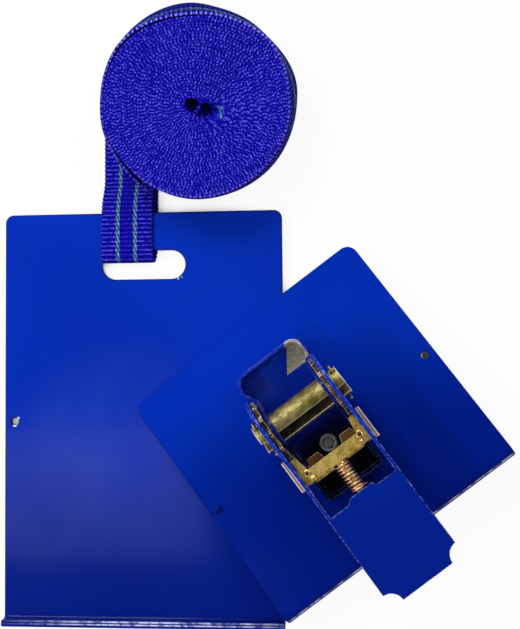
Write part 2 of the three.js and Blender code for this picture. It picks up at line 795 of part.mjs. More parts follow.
buckle.add(mesh('drive_pawl_spring',
  springGeometry(driveSpringRadius, driveWire, driveCurls, barRear - driveWire - clearGap,
    webTab + driveWire + clearGap, driveHeight), copper, 0.35, 0.9));
ratchetSide.add(buckle);

object.add(strapSide, webbing, ratchetSide);
object.updateMatrixWorld(true);

// Centre of the hard pieces above the frame origin
const hard = new THREE.Box3();
for (const group of [strapSide, ratchetSide]) hard.expandByObject(group, true);
const middle = hard.getCenter(new THREE.Vector3());
for (const group of [strapSide, webbing, ratchetSide]) {
  group.position.x -= middle.x;
  group.position.y -= middle.y;
  group.position.z -= hard.min.z;
}

export default object;
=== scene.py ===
import json
import math

import bmesh
import bpy
from mathutils import Matrix, Vector, noise

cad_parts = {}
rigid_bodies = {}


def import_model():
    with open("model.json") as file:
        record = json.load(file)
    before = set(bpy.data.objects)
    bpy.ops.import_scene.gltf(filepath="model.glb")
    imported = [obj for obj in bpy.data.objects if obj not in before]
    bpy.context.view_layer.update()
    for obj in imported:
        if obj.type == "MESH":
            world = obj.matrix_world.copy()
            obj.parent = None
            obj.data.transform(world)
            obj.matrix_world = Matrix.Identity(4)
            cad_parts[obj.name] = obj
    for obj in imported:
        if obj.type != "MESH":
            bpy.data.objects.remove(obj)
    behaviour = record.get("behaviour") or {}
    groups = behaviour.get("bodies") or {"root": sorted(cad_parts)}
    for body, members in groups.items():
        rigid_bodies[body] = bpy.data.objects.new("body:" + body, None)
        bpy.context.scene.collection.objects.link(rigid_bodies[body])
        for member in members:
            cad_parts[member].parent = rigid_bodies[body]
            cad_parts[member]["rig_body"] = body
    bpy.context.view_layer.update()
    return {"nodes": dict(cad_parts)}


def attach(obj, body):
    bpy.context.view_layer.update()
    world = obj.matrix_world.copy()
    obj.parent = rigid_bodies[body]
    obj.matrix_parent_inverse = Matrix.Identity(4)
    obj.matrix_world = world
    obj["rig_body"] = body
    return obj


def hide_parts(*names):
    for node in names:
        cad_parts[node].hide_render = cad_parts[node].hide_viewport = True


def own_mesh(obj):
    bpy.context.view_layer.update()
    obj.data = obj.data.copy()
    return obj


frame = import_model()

nodes = frame["nodes"]
millimetre = 0.001
fullTurn = 2 * math.pi

print("camera")
view = {
    "place": (0.039015, 0.022184, 0.43206),
    "turn": (3.079, 4.782, -0.454),  # degrees
    "lens": 55.02,
    "sensor": 36,
    "farthest": 20,
}
camera = bpy.data.objects.new("camera", bpy.data.cameras.new("camera"))
camera.location = view["place"]
camera.rotation_euler = [math.radians(angle) for angle in view["turn"]]
camera.data.lens = view["lens"]
camera.data.sensor_width = view["sensor"]
camera.data.clip_end = view["farthest"]
bpy.context.scene.collection.objects.link(camera)
bpy.context.scene.camera = camera

# The webbing and the buckle are made in millimetres on their own axes, then set into the model's frame
buckle = {
    "place": (0.0227011, 0.0041638, 0.0295869),
    "across": (0.8017756, 0.5976251, 0.0),
    "ahead": (-0.5948347, 0.7980320, -0.0965225),
}
band = {"place": (-0.0498149, -0.0924556, 0.0002896)}
bandPlace = Matrix.Translation(band["place"]) @ Matrix.Scale(millimetre, 4)
across = Vector(buckle["across"])
ahead = Vector(buckle["ahead"])
up = across.cross(ahead)
backward = tuple(-ahead)
bucklePlace = Matrix((across, ahead, up)).transposed().to_4x4()
bucklePlace = Matrix.Translation(buckle["place"]) @ bucklePlace @ Matrix.Scale(millimetre, 4)


def fromBuckle(x, y, z):
    return tuple(bucklePlace @ Vector((x, y, z)))


def smooth(low, high, value):
    share = min(max((value - low) / (high - low), 0), 1)
    return share * share * (3 - 2 * share)


def hump(angle, middle, width):
    away = math.atan2(math.sin(angle - middle), math.cos(angle - middle))
    return 1 - smooth(0, width, abs(away))


# A socket that takes part in sums, so that a mask reads as a plain expression
class Wire:
    def __init__(self, finish, socket):
        self.finish = finish
        self.socket = socket

    def part(self, name):
        return Wire(self.finish, self.socket.node.outputs[name])

    def sum(self, operation, *others):
        return self.finish.node("ShaderNodeMath", {"operation": operation}, dict(enumerate(others)))

    def __add__(self, other):
        return self.sum("ADD", self, other)

    def __radd__(self, other):
        return self.sum("ADD", other, self)

    def __sub__(self, other):
        return self.sum("SUBTRACT", self, other)

    def __rsub__(self, other):
        return self.sum("SUBTRACT", other, self)

    def __mul__(self, other):
        return self.sum("MULTIPLY", self, other)

    def __rmul__(self, other):
        return self.sum("MULTIPLY", other, self)

    def wave(self):
        return self.sum("SINE", self) * 0.5 + 0.5

    def size(self):
        return self.sum("ABSOLUTE", self)

    def most(self, other):
        return self.sum("MAXIMUM", self, other)

    def ramp(self, low, high, first=0.0, last=1.0):
        settings = {"interpolation_type": "SMOOTHSTEP", "clamp": True}
        sockets = {0: self, 1: low, 2: high, 3: first, 4: last}
        return self.finish.node("ShaderNodeMapRange", settings, sockets)


# A material under construction
class Finish:
    def __init__(self, name, owner=None):
        self.material = owner or bpy.data.materials.new(name)
        self.material.use_nodes = True
        self.tree = self.material.node_tree
        self.tree.nodes.clear()

    def node(self, kind, settings=None, sockets=None, take=0):
        made = self.tree.nodes.new(kind)
        for name, value in (settings or {}).items():
            setattr(made, name, value)
        for name, value in (sockets or {}).items():
            socket = made.inputs[name]
            if isinstance(value, Wire):
                self.tree.links.new(value.socket, socket)
            elif socket.type == "RGBA" and len(value) == 3:
                socket.default_value = (*value, 1)
            else:
                socket.default_value = value
        return Wire(self, made.outputs[take]) if made.outputs else None

    def spots(self):
        return self.node("ShaderNodeTexCoord", take="Object")

    # A value that the mesh carries, such as where its edges are rounded
    def carried(self, name):
        return self.node("ShaderNodeAttribute", {"attribute_name": name}, take="Fac")

    def noise(self, scale, detail, rough, where, stretch=None):
        if stretch:
            where = self.node("ShaderNodeMapping", {}, {"Vector": where, "Scale": stretch})
        sockets = {"Vector": where, "Scale": scale, "Detail": detail, "Roughness": rough}
        return self.node("ShaderNodeTexNoise", {}, sockets)

    def mix(self, share, first, second):
        settings = {"data_type": "RGBA", "clamp_result": True}
        return self.node("ShaderNodeMix", settings, {0: share, 6: first, 7: second}, take=2)

    def near(self, middle, reach, blur, where):
        ends = {0: where, 1: middle}
        away = self.node("ShaderNodeVectorMath", {"operation": "DISTANCE"}, ends, take="Value")
        return away.ramp(reach * (1 - blur), reach, 1.0, 0.0)

    # Distance in millimetres from a spot, mostly the spool's middle, along one direction
    def away(self, direction, where, start=buckle["place"]):
        gap = self.node("ShaderNodeVectorMath", {"operation": "SUBTRACT"}, {0: where, 1: start})
        ways = {0: gap, 1: direction}
        run = self.node("ShaderNodeVectorMath", {"operation": "DOT_PRODUCT"}, ways, take="Value")
        return run * (1 / millimetre)

    def bump(self, height, deep, strength):
        sockets = {"Height": height, "Distance": deep, "Strength": strength}
        return self.node("ShaderNodeBump", {}, sockets)

    def close(self, sockets):
        surface = self.node("ShaderNodeBsdfPrincipled", {}, sockets)
        self.node("ShaderNodeOutputMaterial", {}, {"Surface": surface})
        return self.material


# Blue baked paint: slight orange peel, slow shade changes, dust, and chips down to bare steel,
# with painted shade falloffs, darker rounded edges, painted highlights, a painted sheen and a painted
# reflection where asked
paint = {
    "colour": (0.0012, 0.030, 0.46),
    "deep": (0.0006, 0.016, 0.32),
    # painted shade tones: the first for darker falloffs and rounded edges, the second near black for the
    # channel's hollow
    "paintedShade": (0.0002, 0.003, 0.11),
    "paintedDeepShade": (0.0002, 0.0004, 0.022),
    # dust, and a painted sheen at the given spots
    "dustAndSheen": (0.16, 0.2, 0.42),
    "steel": (0.55, 0.56, 0.58),
    # painted reflection colours for the nose
    "paintedReflection": (0.42, 0.38, 0.25),
    "paintedReflectionPale": (0.66, 0.62, 0.44),
    # edge wear, partly a painted highlight along rounded edges
    "edge": (0.30, 0.32, 0.70),
    # painted highlight colour for light lines
    "paintedHighlight": (0.66, 0.68, 0.92),
    "driftScale": 11,
    "cloudScale": 26,
    "highlightBeadScale": 230,
    "streakScale": 420,
    "peelScale": 520,
    "wearScale": 700,
    "speckScale": 900,
    "chipScale": 2600,
    "coatThick": 0.00008,
    "peelHigh": 0.00001,
    "mattEdge": 0.4,
}

# Painted reflection on the frame's nose, drawn as a pale metallic patch, in millimetres from the spool's
# middle: where it begins and where it is full
noseReflection = {
    "front": (17.2, 17.7),
    "slantFrom": 17.0,
    "slant": 0.724,
    "left": (2.7, 3.2),
    "right": (15.6, 16.6),
    "top": (-4.6, -5.2),
    "ragged": 0.8,
}


# chips and dustAndSheenSpots: middle, reach. paintedFalloff: start, direction, length in millimetres, share,
# tone of painted shade.
# paintedHighlights: a spot, the direction across, half the width in millimetres, middle, reach, only on
# rounded edges
def bluePaint(name, chips, gloss, dustAndSheenSpots=(), dustAndSheenShare=0.2, edgeWearAndHighlight=0.0, rim=0.55, shine=0.13, paintedReflection=False,
              paintedFalloff=(), paintedHighlights=()):
    made = Finish(name)
    where = made.spots()
    edge = made.carried("rounded")
    wander = made.noise(paint["chipScale"], 3, 0.6, where)
    slow = made.noise(paint["driftScale"], 2, 0.5, where)
    colour = made.mix(slow.ramp(0.3, 0.7) * 0.45, paint["colour"], paint["deep"])
    # painted shade: the colour falls off toward a darker tone along each given direction
    for start, direction, length, share, tone in paintedFalloff:
        far = made.away(direction, where, start).ramp(0.0, length) + slow * 0.2 - 0.1
        colour = made.mix(far * share, colour, paint[tone])
    # dust specks, and lighter clouds at the given spots: partly dust, partly painted sheen
    dustAndSheen = made.noise(paint["speckScale"], 4, 0.7, where).ramp(0.68, 0.78) * 0.06
    if dustAndSheenSpots:
        cloud = made.noise(paint["cloudScale"], 3, 0.55, where).ramp(0.25, 0.8)
        for middle, reach in dustAndSheenSpots:
            dustAndSheen = dustAndSheen.most(made.near(middle, reach, 1.0, where) * cloud * dustAndSheenShare)
    colour = made.mix(dustAndSheen, colour, paint["dustAndSheen"])
    bare = None
    for middle, reach in chips:
        chip = (made.near(middle, reach, 0.9, where) + wander * 0.9 - 0.45).ramp(0.5, 0.62)
        bare = bare.most(chip) if bare else chip
    # worn edges in spots: partly real edge wear, partly painted highlight
    wornAndHighlit = edge * made.noise(paint["wearScale"], 3, 0.6, where).ramp(0.42, 0.72) * edgeWearAndHighlight
    # painted shade: rounded edges darkened by the rim share
    colour = made.mix(edge * rim, colour, paint["paintedShade"])
    colour = made.mix(wornAndHighlit, colour, paint["edge"])
    # painted highlights: beaded light lines across the given directions
    for start, direction, half, middle, reach, onEdge in paintedHighlights:
        line = made.away(direction, where, start).size().ramp(half * 0.5, half, 1.0, 0.0)
        line = line * edge if onEdge else line
        beads = made.noise(paint["highlightBeadScale"], 3, 0.6, where).ramp(0.36, 0.6, 0.1, 1.0)
        colour = made.mix(line * made.near(middle, reach, 0.8, where) * beads, colour, paint["paintedHighlight"])
    matt = 0.0 if edgeWearAndHighlight else paint["mattEdge"]
    rough = gloss + slow * 0.04 + dustAndSheen * 0.25 + wornAndHighlit * 0.2 + edge * matt
    if paintedReflection:  # painted reflection of a bright surface on the nose's curved face, drawn as a pale metallic patch
        wide, deep, high = (made.away(way, where) for way in (across, ahead, up))
        ragged = made.noise(paint["wearScale"], 2, 0.5, where) * noseReflection["ragged"]
        slanted = wide - (deep - noseReflection["slantFrom"]) * noseReflection["slant"]
        patch = (deep + ragged).ramp(*noseReflection["front"]) * slanted.ramp(*noseReflection["left"])
        patch = patch * high.ramp(*noseReflection["top"]) * wide.ramp(*noseReflection["right"], 1.0, 0.0)
        streak = made.noise(paint["streakScale"], 4, 0.65, where, (1.0, 2.5, 1.0))
        reflectionTone = made.mix(streak.ramp(0.35, 0.65), paint["paintedReflection"], paint["paintedReflectionPale"])
        colour = made.mix(patch * (0.75 + streak * 0.3), colour, reflectionTone)
        bare = bare.most(patch * 0.4)
    else:
        colour = made.mix(bare, colour, paint["steel"])
    peel = made.noise(paint["peelScale"], 2, 0.5, where)
    height = (1 - bare) * paint["coatThick"] + peel * paint["peelHigh"]
    return made.close({
        "Base Color": colour, "Metallic": bare * 0.9, "Roughness": rough * (1 - bare) + bare * 0.35,
        "Normal": made.bump(height, 1.0, 0.5), "Specular IOR Level": shine})


# Yellow zinc plating: gold with pink, brown and green drifts, brushed marks and darker stains
plating = {
    "gold": (0.44, 0.27, 0.035),
    "pale": (0.75, 0.57, 0.16),
    "dullGold": (0.13, 0.11, 0.025),
    "dullPale": (0.36, 0.33, 0.12),
    "dark": (0.045, 0.032, 0.022),
    "darkGold": (0.20, 0.14, 0.06),
    # painted shade colour for the lock pawl
    "paintedShadeBrown": (0.13, 0.06, 0.02),
    # painted highlight colour for rounded edges
    "rim": (0.92, 0.82, 0.66),
    "pink": (0.72, 0.42, 0.38),
    "mauve": (0.40, 0.23, 0.26),
    "earPaintedHighlight": (0.95, 0.80, 0.78),
    "brown": (0.17, 0.085, 0.03),
    # painted shade colour for the pits
    "hole": (0.012, 0.009, 0.01),
    "patchScale": 75,
    "driftScale": 190,
    "brushScale": 300,
    "stainScale": 420,
    "grainScale": 1500,
    "earHalf": 0.85,
    "pitRadius": 0.00085,
    "brushDeep": 0.00009,
}


def yellowZinc(name, pinkShare, stainShare, rough, shades=("gold", "pale"), rim=0.35, ears=None, holes=()):
    made = Finish(name)
    where = made.spots()
    edge = made.carried("rounded")
    drift = made.noise(plating["driftScale"], 4, 0.6, where)
    patch = made.noise(plating["patchScale"], 3, 0.55, where)
    grain = made.noise(plating["grainScale"], 3, 0.7, where)
    stain = made.noise(plating["stainScale"], 5, 0.7, where).ramp(0.48, 0.64)
    colour = made.mix((drift * 0.6 + grain * 0.4).ramp(0.41, 0.59), *(plating[shade] for shade in shades))
    colour = made.mix(patch.ramp(0.46, 0.66) * pinkShare, colour, plating["pink"])
    colour = made.mix(stain * stainShare, colour, plating["brown"])
    if ears:  # the pawl's ears outside the handle are mauve with a pale rim, the rim a painted highlight
        side = made.away(across, where).size()
        core = (side - ears - plating["earHalf"]).size().ramp(0.25, 0.5)
        tint = made.mix(core * grain.ramp(0.3, 0.5, 0.6, 1.0), plating["mauve"], plating["earPaintedHighlight"])
        colour = made.mix(side.ramp(ears - 0.2, ears + 0.2), colour, tint)
    # painted highlight: rounded edges drawn pale by the rim share
    colour = made.mix(edge * rim * grain.ramp(0.3, 0.6, 0.5, 1.0), colour, plating["rim"])
    metal = 0.95 * (1 - edge * rim * 0.5)
    # painted shade: near-black pits drawn in the middles of the curls
    for middle in holes:
        pit = made.near(middle, plating["pitRadius"], 0.25, where)
        colour = made.mix(pit, colour, plating["hole"])
        metal = metal * (1 - pit)
    brushed = made.noise(plating["brushScale"], 3, 0.6, where, (1.0, 9.0, 9.0))
    height = brushed * 0.5 + stain * 0.4 + grain * 0.5
    return made.close({
        "Base Color": colour, "Metallic": metal, "Roughness": rough + drift * 0.16 + stain * 0.15,
        "Normal": made.bump(height, plating["brushDeep"], 0.5)})


# Plain zinc on the bolt, the washer and the nut
grey = {
    "deep": (0.42, 0.42, 0.43),
    "pale": (0.66, 0.66, 0.67),
    "spot": (0.16, 0.15, 0.14),
    # painted highlight for rounded edges, and painted shade near black
    "rim": (0.95, 0.95, 0.95),
    "dark": (0.02, 0.02, 0.022),
    "driftScale": 260,
    "spotScale": 900,
    "deepness": 0.00006,
}


def greyZinc(name, flat, rim):
    made = Finish(name)
    where = made.spots()
    edge = made.carried("rounded")
    drift = made.noise(grey["driftScale"], 4, 0.6, where)
    spot = made.noise(grey["spotScale"], 3, 0.6, where).ramp(0.55, 0.75)
    colour = made.mix(drift.ramp(0.3, 0.7), grey["deep"], grey["pale"])
    colour = made.mix(spot * 0.4, colour, grey["spot"])
    # painted highlight on rounded edges by the rim share, painted shade on flat faces and on the other edges
    colour = made.mix(edge * rim * 0.9, colour, grey["rim"])
    colour = made.mix(1 - flat * (1 - edge) - edge * rim, colour, grey["dark"])
    return made.close({
        "Base Color": colour, "Metallic": 0.8 - edge * rim * 0.6, "Roughness": 0.3 + drift * 0.2,
        "Normal": made.bump(drift, grey["deepness"], 0.5)})


copper = {
    "deep": (0.72, 0.36, 0.2),
    "pale": (0.86, 0.6, 0.42),
    "dark": (0.2, 0.09, 0.05),
    "driftScale": 340,
    "darkScale": 700,
    "deepness": 0.00005,
}


def copperWire(name):
    made = Finish(name)
    where = made.spots()
    drift = made.noise(copper["driftScale"], 4, 0.6, where)
    dark = made.noise(copper["darkScale"], 3, 0.6, where).ramp(0.5, 0.7)
    colour = made.mix(drift.ramp(0.35, 0.65), copper["deep"], copper["pale"])
    colour = made.mix(dark * 0.45, colour, copper["dark"])
    return made.close({
        "Base Color": colour, "Metallic": 0.95, "Roughness": 0.26 + drift * 0.2,
        "Normal": made.bump(drift, copper["deepness"], 0.4)})


# Woven webbing: cross ribs over a deep blue ground, small beads of yarn, two dashed green tracer yarns.
# Lengths are in millimetres, and places across the webbing are shares of its width
weave = {
    "ground": (0.001, 0.0007, 0.19),
    "faceGround": (0.0015, 0.001, 0.30),
    "crest": (0.008, 0.006, 0.38),
    # painted shade on the roll's outer wall
    "shade": (0.0003, 0.0002, 0.045),
    # painted highlight on rib tops
    "shine": (0.12, 0.10, 0.78),
    # painted highlight on the selvedge beads
    "bead": (0.31, 0.30, 0.84),
    "tracer": (0.04, 0.20, 0.14),
    "tracerPale": (0.30, 0.52, 0.44),
    "tracerShares": (0.325, 0.665),
    "tracerHalf": 0.043,
    "tracerSway": 0.014,
    "selvedge": (0.478, 0.49),
    "satin": (0.12, 0.16),
    "width": 25.0,
    "ribPitch": 2.0,
    "knotPitch": 1.45,
    "beadPitch": 1.15,
    "twistPitch": 3.6,
    "rimFrom": (250, 230),  # before the outer end
    # where the selvedge highlight rises and falls
    "highlightFrom": (150, 90),
    "highlightTo": (62, 45),
    "tornTo": (38, 60),  # after the inner end
    "tornReach": 0.0062,  # metres
    "fadeScale": 42,
    "wobbleScale": 330,
    "stitchScale": 760,
    "jitterScale": 850,
    "patchScale": 900,
    "flickScale": 1500,
    "ribDeep": 0.00025,
    "smoothTo": 70,  # degrees
}


def webbingCloth(name, ribShare, wander=0.6, paintedWallShade=None, base="ground", rim=None, torn=None):
    made = Finish(name)
    where = made.spots()
    along = made.carried("along")
    wide = made.carried("wide")
    wobble = made.noise(weave["wobbleScale"], 3, 0.6, where)
    flick = made.noise(weave["flickScale"], 3, 0.65, where).ramp(0.35, 0.65)
    patch = made.noise(weave["patchScale"], 2, 0.5, where).ramp(0.32, 0.68)
    uneven = along + wobble * 0.6 + made.noise(weave["jitterScale"], 1, 0.5, where) * wander
    rib = (uneven * (fullTurn / weave["ribPitch"])).wave()
    knot = (uneven * (fullTurn / weave["knotPitch"])).wave()
    bead = (wide * (weave["width"] * fullTurn / weave["beadPitch"]) + along * math.pi).wave()
    fromMiddle = (wide - 0.5).size()
    edge = fromMiddle.ramp(*weave["selvedge"])
    satin = fromMiddle.ramp(*weave["satin"], 0.6, 1.0)
    flat = rib.ramp(0.5, 1.0) * (0.25 + bead * 0.2 + patch * 0.55) * satin * ribShare + flick * 0.26
    dash = knot.ramp(0.4, 0.98) * (0.2 + patch * 0.8) + flick * 0.3
    lift = flat * (1 - edge) + dash * edge
    # ribs of the weave, their lit tops drawn lighter: partly pattern, partly painted highlight
    colour = made.mix(lift.ramp(0.0, 0.4), weave[base], weave["crest"])
    colour = made.mix(lift.ramp(0.42, 1.05) * 0.95, colour, weave["shine"])
    shown = 1.0
    if rim:  # painted highlight: lighter beads along the selvedge of the outermost turn
        left = rim - along
        selvedgeHighlight = left.ramp(*weave["highlightFrom"]) * left.ramp(*weave["highlightTo"], 1.0, 0.0) * 0.45 + 0.26
        selvedgeHighlight = selvedgeHighlight * left.ramp(*weave["rimFrom"])
        colour = made.mix(edge * selvedgeHighlight * rib.ramp(0.55, 0.9), colour, weave["bead"])
    if paintedWallShade:  # outer wall of the roll: painted shade between the ribs, and the tracers shown less
        outer = along.ramp(*paintedWallShade)
        between = 1 - rib.ramp(0.45, 0.85) * 0.75
        colour = made.mix(outer * (1 - edge) * between * 0.85, colour, weave["shade"])
        shown = 1 - outer * (0.35 + made.noise(weave["fadeScale"], 2, 0.5, where).ramp(0.44, 0.52) * 0.45)
    stripe = None
    for middle in weave["tracerShares"]:
        line = (wide + wobble * weave["tracerSway"] - (middle + weave["tracerSway"] / 2)).size()
        line = line.ramp(weave["tracerHalf"] * 0.65, weave["tracerHalf"], 1.0, 0.0)
        stripe = stripe.most(line) if stripe else line
    if torn:  # the tracer of the inner end shows in a few loose stitches only
        stitches = made.noise(weave["stitchScale"], 2, 0.5, where).ramp(0.42, 0.58, 0.25, 1.0)
        loose = made.near(torn, weave["tornReach"], 0.35, where) * stitches
        turned = along.ramp(*weave["tornTo"])
        shown = shown * (turned + (1 - turned) * loose)
    stripe = stripe * shown * (0.45 + patch * 0.55)
    twist = (along * (fullTurn / weave["twistPitch"]) + wide * 110.0 + wobble * 4.0).wave()
    colour = made.mix(stripe * twist.ramp(0.1, 0.5, 0.2, 1.0), colour, weave["tracer"])
    pale = stripe * twist.ramp(0.55, 0.95) * rib.ramp(0.3, 0.9, 0.3, 1.0)
    colour = made.mix(pale, colour, weave["tracerPale"])
    height = rib * 0.7 + bead * 0.15 + flick * 0.15
    return made.close({
        "Base Color": colour, "Roughness": 0.8, "Specular IOR Level": 0.02,
        "Normal": made.bump(height, weave["ribDeep"], 0.7)})


def folded(edge, least):
    return len(edge.link_faces) == 2 and edge.calc_face_angle() > least


# Whether a point is on one of the long bends between the handle's web and its sides
def onBend(vert, bend):
    spot = bucklePlace.inverted() @ vert.co
    beside = abs(abs(spot.x) - bend["side"]) < bend["near"]
    return beside and abs(spot.z - bend["top"]) < bend["near"] and bend["from"] < spot.y < bend["to"]


def roundOff(body, edges, values, mark):
    made = bmesh.ops.bevel(body, geom=edges, offset=values["round"] * millimetre, offset_type="OFFSET",
                           affect="EDGES", segments=values["segments"], profile=0.5, material=-1,
                           clamp_overlap=values.get("clamp", True))
    rounded = body.faces.layers.float["rounded"]
    for face in made["faces"]:
        face[rounded] = mark


# Loose triangles of a CAD node become whole faces, then their edges are rounded and shaded smooth
def dress(node, name, finish, values):
    body = bmesh.new()
    body.from_mesh(nodes[node].data)
    body.faces.layers.float.new("rounded")
    bmesh.ops.remove_doubles(body, verts=body.verts, dist=0.000002)
    bmesh.ops.dissolve_limit(body, angle_limit=math.radians(0.8), verts=body.verts, edges=body.edges,
                             use_dissolve_boundaries=False, delimit=set())
    bend = values.get("bend")
    if bend:
        bent = [edge for edge in body.edges
                if folded(edge, 0.5) and all(onBend(end, bend) for end in edge.verts)]
        roundOff(body, bent, bend, 0.6)
    sharp = math.radians(28)
    roundOff(body, [edge for edge in body.edges if folded(edge, sharp)], values, 1.0)
    return settle(body, name, finish, nodes[node]["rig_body"], [node])


# A body becomes a finished piece that rides on the right part of the model
def settle(body, name, finish, rides, replaced, place=None, smoothTo=32):
    if place:
        body.transform(place)
        bmesh.ops.recalc_face_normals(body, faces=body.faces)
    mesh = bpy.data.meshes.new(name)
    body.to_mesh(mesh)
    body.free()
    mesh.materials.append(finish)
    mesh.shade_smooth()
    mesh.set_sharp_from_angle(angle=math.radians(smoothTo))
    piece = bpy.data.objects.new(name, mesh)
    bpy.context.scene.collection.objects.link(piece)
    even = piece.modifiers.new("even", "WEIGHTED_NORMAL")
    even.keep_sharp = True
    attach(piece, rides)
    if replaced:
        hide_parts(*replaced)
    return piece


# A round wire along a row of points, closed at its ends
def wire(points, radius, smoothness=2):
    curve = bpy.data.curves.new("wire", "CURVE")
    curve.dimensions = "3D"
    curve.bevel_depth = radius
    curve.bevel_resolution = smoothness
    curve.use_fill_caps = True
    spline = curve.splines.new("POLY")
    spline.points.add(len(points) - 1)
    for point, spot in zip(spline.points, points):
        point.co = (*spot, 1)
    holder = bpy.data.objects.new("wire", curve)
    mesh = bpy.data.meshes.new_from_object(holder)
    body = bmesh.new()
    body.from_mesh(mesh)
    bpy.data.objects.remove(holder)
    bpy.data.curves.remove(curve)
    bpy.data.meshes.remove(mesh)
    bmesh.ops.remove_doubles(body, verts=body.verts, dist=radius * 0.01)
    return body


def joined(bodies):
    whole = bmesh.new()
    for body in bodies:
        mesh = bpy.data.meshes.new("part")
        body.to_mesh(mesh)
        body.free()
        whole.from_mesh(mesh)
        bpy.data.meshes.remove(mesh)
    return whole


# Plates
print("plates")
sheets = {"round": 0.6, "segments": 3, "clamp": False}
# painted highlights: two light lines along the strap plate's lip
lipHighlight = {"middle": (-0.040, -0.0915, 0.008), "reach": 0.080, "inner": -0.0897, "top": -0.0910}
strapLook = {
    "gloss": 0.08,
    # rim: share of painted shade on the rounded edges
    "rim": 0.9,
    "chips": [((-0.0334, 0.0622, 0.0046), 0.0011), ((-0.0318, 0.0629, 0.0046), 0.0009),
              ((-0.10865, -0.0030, 0.0041), 0.0022), ((-0.1071, -0.0002, 0.0041), 0.0012),
              ((-0.1113, -0.0912, 0.0030), 0.0007)],
    # painted sheen: lighter clouds on the strap plate
    "dustAndSheenSpots": [((-0.060, -0.015, 0.004), 0.060), ((-0.100, -0.040, 0.004), 0.04)],
    "dustAndSheenShare": 0.12,
    # painted shade: the plate drawn darker towards its bottom
    "paintedFalloff": [((0.0, 0.005, 0.0), (-0.1, -0.995, 0.0), 88, 0.65, "paintedShade")],
    "paintedHighlights": [
        ((0, lipHighlight["inner"], 0), (0, 1, 0), 0.6, lipHighlight["middle"], lipHighlight["reach"], True),
        ((0, lipHighlight["top"], 0), (0, 1, 0), 0.4, lipHighlight["middle"], lipHighlight["reach"], False),
    ],
}
dress("strap_plate", "strapPlateSheet", bluePaint("strapPlatePaint", **strapLook), sheets)

# A painted highlight, a beaded line of light, runs along the crest of the second plate's bend
bendWay = (Vector((-ahead.x, -ahead.y, 0)).normalized() + Vector((0, 0, 1))).normalized()
bendCrest = max((vert.co for vert in nodes["ratchet_plate"].data.vertices), key=bendWay.dot)
ratchetLook = {
    "gloss": 0.12,
    # rim: share of painted shade on the rounded edges
    "rim": 0.2,
    "shine": 0.02,
    "chips": [((0.0754, 0.0267, 0.0188), 0.0021), ((0.0768, 0.0255, 0.0188), 0.0012),
              ((-0.0146, -0.0394, 0.0133), 0.0021), ((-0.0135, -0.0408, 0.0133), 0.0012)],
    # painted shade: the plate drawn darker towards its lower right
    "paintedFalloff": [((0.030, 0.055, 0.0), (0.45, -0.893, 0.0), 80, 0.6, "paintedShade")],
    "paintedHighlights": [(tuple(bendCrest), tuple(bendWay), 0.07, (0.060, -0.050, 0.018), 0.15, False)],
}
dress("ratchet_plate", "ratchetPlateSheet", bluePaint("ratchetPlatePaint", **ratchetLook),
      sheets)

# Frame and handle
print("frame and handle")
edgeChips = [((0.0413, -0.0246, 0.0394), 0.0012), ((0.0530, -0.0219, 0.0394), 0.0012)]
handleLook = {
    "gloss": 0.1,
    # edge wear with painted highlights on the rounded edges
    "edgeWearAndHighlight": 0.8,
    "chips": edgeChips,
    # painted shade: the handle drawn darker along its length away from the spool
    "paintedFalloff": [((0.030, 0.0, 0.0), (0.595, -0.798, 0.0), 40, 0.5, "paintedShade")],
}
frameLook = {
    "gloss": 0.1,
    # edge wear with painted highlights on the rounded edges
    "edgeWearAndHighlight": 0.3,
    # painted reflection on the nose
    "paintedReflection": True,
    "chips": edgeChips,
    # lighter clouds inside the nose
    "dustAndSheenSpots": [(fromBuckle(-9, 19, -12), 0.011), (fromBuckle(-2, 26, -9), 0.009)],
    "dustAndSheenShare": 0.16,
    # painted shade: the nose's floor darker backwards, and the channel's hollow behind the spool near black
    "paintedFalloff": [(fromBuckle(0, 27, 0), backward, 16, 0.6, "paintedShade"),
              (fromBuckle(0, -3, 0), backward, 14, 1.0, "paintedDeepShade")],
}
channel = {"round": 0.3, "segments": 2, "clamp": False}
bend = {"side": 17.7, "top": 9.5, "from": -77.2, "to": -26.0, "near": 0.03, "round": 1.15, "segments": 5,
        "clamp": False}
dress("base_frame", "ratchetFrame", bluePaint("framePaint", **frameLook), channel)
dress("handle", "handleChannel", bluePaint("handlePaint", **handleLook),
      {**channel, "bend": bend})

# Spool, wheels, pawls and fastenings
print("plated pieces")
curls = {"x": 13.3, "y": -22.6, "height": 7.3, "radius": 1.25, "wire": 0.52, "from": -60, "by": 12.5,
         "steps": 25, "pitHeight": 7.5}
ledge = {"from": 3.4, "to": 12.3, "front": -26.3, "back": -27.5, "top": 6.5, "low": 5.3, "round": 0.25}
pits = [fromBuckle(side * curls["x"], curls["y"], curls["pitHeight"]) for side in (-1, 1)]
# the spool's rounded edges carry a painted highlight
spoolZinc = yellowZinc("spoolZinc", 0.1, 0.6, 0.42, ("dullGold", "dullPale"), 0.9)
pinZinc = yellowZinc("pinZinc", 0.1, 0.4, 0.3)
# painted shade: the lock pawl sits in shade, so its plating is drawn brown
lockZinc = yellowZinc("lockZinc", 0.1, 0.5, 0.4, ("paintedShadeBrown", "brown"), 0.5)
# painted highlight on the bar's rounded edges and the ears' rims
pawlZinc = yellowZinc("pawlZinc", 0.2, 0.65, 0.36, rim=0.9, ears=17.9, holes=pits)
wheelZinc = yellowZinc("wheelZinc", 0.3, 0.7, 0.3, ("dark", "darkGold"), 0.6)
